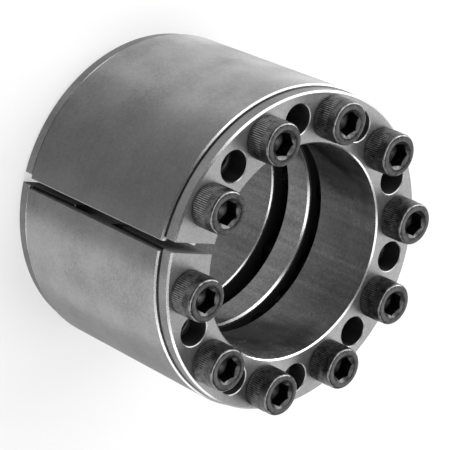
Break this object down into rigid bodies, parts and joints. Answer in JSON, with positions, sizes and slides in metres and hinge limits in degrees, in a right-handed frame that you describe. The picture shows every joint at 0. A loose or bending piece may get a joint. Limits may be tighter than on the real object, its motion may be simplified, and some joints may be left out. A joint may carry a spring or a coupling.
{
  "type": "shaft locking assembly",
  "caption": "Slit double-taper locking assembly that clamps a hub on a plain shaft, drawn up by a circle of socket head cap screws.",
  "frame": {"origin": "centre of the rear ring's end face, on which the part stands", "axes": "+Z along the shaft axis towards the screw heads; the slits face -Y"},
  "size_m": [0.12, 0.12, 0.0942],
  "materials": {
    "turned_steel": "fine turned, satin",
    "screw_steel": "black oxide, oiled"
  },
  "bodies": {
    "rear_ring": {"rear_ring": "turned_steel"},
    "outer_ring": {"outer_ring": "turned_steel"},
    "front_ring": {"front_ring": "turned_steel"},
    "screw_01": {"socket_screw_01": "screw_steel"},
    "screw_02": {"socket_screw_02": "screw_steel"},
    "screw_03": {"socket_screw_03": "screw_steel"},
    "screw_04": {"socket_screw_04": "screw_steel"},
    "screw_05": {"socket_screw_05": "screw_steel"},
    "screw_06": {"socket_screw_06": "screw_steel"},
    "screw_07": {"socket_screw_07": "screw_steel"},
    "screw_08": {"socket_screw_08": "screw_steel"},
    "screw_09": {"socket_screw_09": "screw_steel"},
    "screw_10": {"socket_screw_10": "screw_steel"}
  },
  "joints": [
    {"name": "outer_ring_slide", "type": "slide", "parent": "rear_ring", "child": "outer_ring", "axis": [0, 0, 1], "range_m": [0, 0.003]},
    {"name": "front_ring_slide", "type": "slide", "parent": "outer_ring", "child": "front_ring", "axis": [0, 0, 1], "range_m": [0, 0.003]},
    {"name": "screw_01_turn", "type": "hinge", "parent": "front_ring", "child": "screw_01", "pos_m": [0.01537, -0.04732, 0.0842], "axis": [0, 0, 1], "range_deg": [0, 1440]},
    {"name": "screw_02_turn", "type": "hinge", "parent": "front_ring", "child": "screw_02", "pos_m": [0.04025, -0.02924, 0.0842], "axis": [0, 0, 1], "range_deg": [0, 1440]},
    {"name": "screw_03_turn", "type": "hinge", "parent": "front_ring", "child": "screw_03", "pos_m": [0.04975, 0, 0.0842], "axis": [0, 0, 1], "range_deg": [0, 1440]},
    {"name": "screw_04_turn", "type": "hinge", "parent": "front_ring", "child": "screw_04", "pos_m": [0.04025, 0.02924, 0.0842], "axis": [0, 0, 1], "range_deg": [0, 1440]},
    {"name": "screw_05_turn", "type": "hinge", "parent": "front_ring", "child": "screw_05", "pos_m": [0.01537, 0.04732, 0.0842], "axis": [0, 0, 1], "range_deg": [0, 1440]},
    {"name": "screw_06_turn", "type": "hinge", "parent": "front_ring", "child": "screw_06", "pos_m": [-0.01537, 0.04732, 0.0842], "axis": [0, 0, 1], "range_deg": [0, 1440]},
    {"name": "screw_07_turn", "type": "hinge", "parent": "front_ring", "child": "screw_07", "pos_m": [-0.04025, 0.02924, 0.0842], "axis": [0, 0, 1], "range_deg": [0, 1440]},
    {"name": "screw_08_turn", "type": "hinge", "parent": "front_ring", "child": "screw_08", "pos_m": [-0.04975, 0, 0.0842], "axis": [0, 0, 1], "range_deg": [0, 1440]},
    {"name": "screw_09_turn", "type": "hinge", "parent": "front_ring", "child": "screw_09", "pos_m": [-0.04025, -0.02924, 0.0842], "axis": [0, 0, 1], "range_deg": [0, 1440]},
    {"name": "screw_10_turn", "type": "hinge", "parent": "front_ring", "child": "screw_10", "pos_m": [-0.01537, -0.04732, 0.0842], "axis": [0, 0, 1], "range_deg": [0, 1440]}
  ],
  "couplings": [
    {"joint": "front_ring_slide", "follows": "outer_ring_slide", "ratio": 1},
    {"joint": "screw_01_turn", "follows": "outer_ring_slide", "rad_per_m": 8377.6},
    {"joint": "screw_02_turn", "follows": "outer_ring_slide", "rad_per_m": 8377.6},
    {"joint": "screw_03_turn", "follows": "outer_ring_slide", "rad_per_m": 8377.6},
    {"joint": "screw_04_turn", "follows": "outer_ring_slide", "rad_per_m": 8377.6},
    {"joint": "screw_05_turn", "follows": "outer_ring_slide", "rad_per_m": 8377.6},
    {"joint": "screw_06_turn", "follows": "outer_ring_slide", "rad_per_m": 8377.6},
    {"joint": "screw_07_turn", "follows": "outer_ring_slide", "rad_per_m": 8377.6},
    {"joint": "screw_08_turn", "follows": "outer_ring_slide", "rad_per_m": 8377.6},
    {"joint": "screw_09_turn", "follows": "outer_ring_slide", "rad_per_m": 8377.6},
    {"joint": "screw_10_turn", "follows": "outer_ring_slide", "rad_per_m": 8377.6}
  ]
}
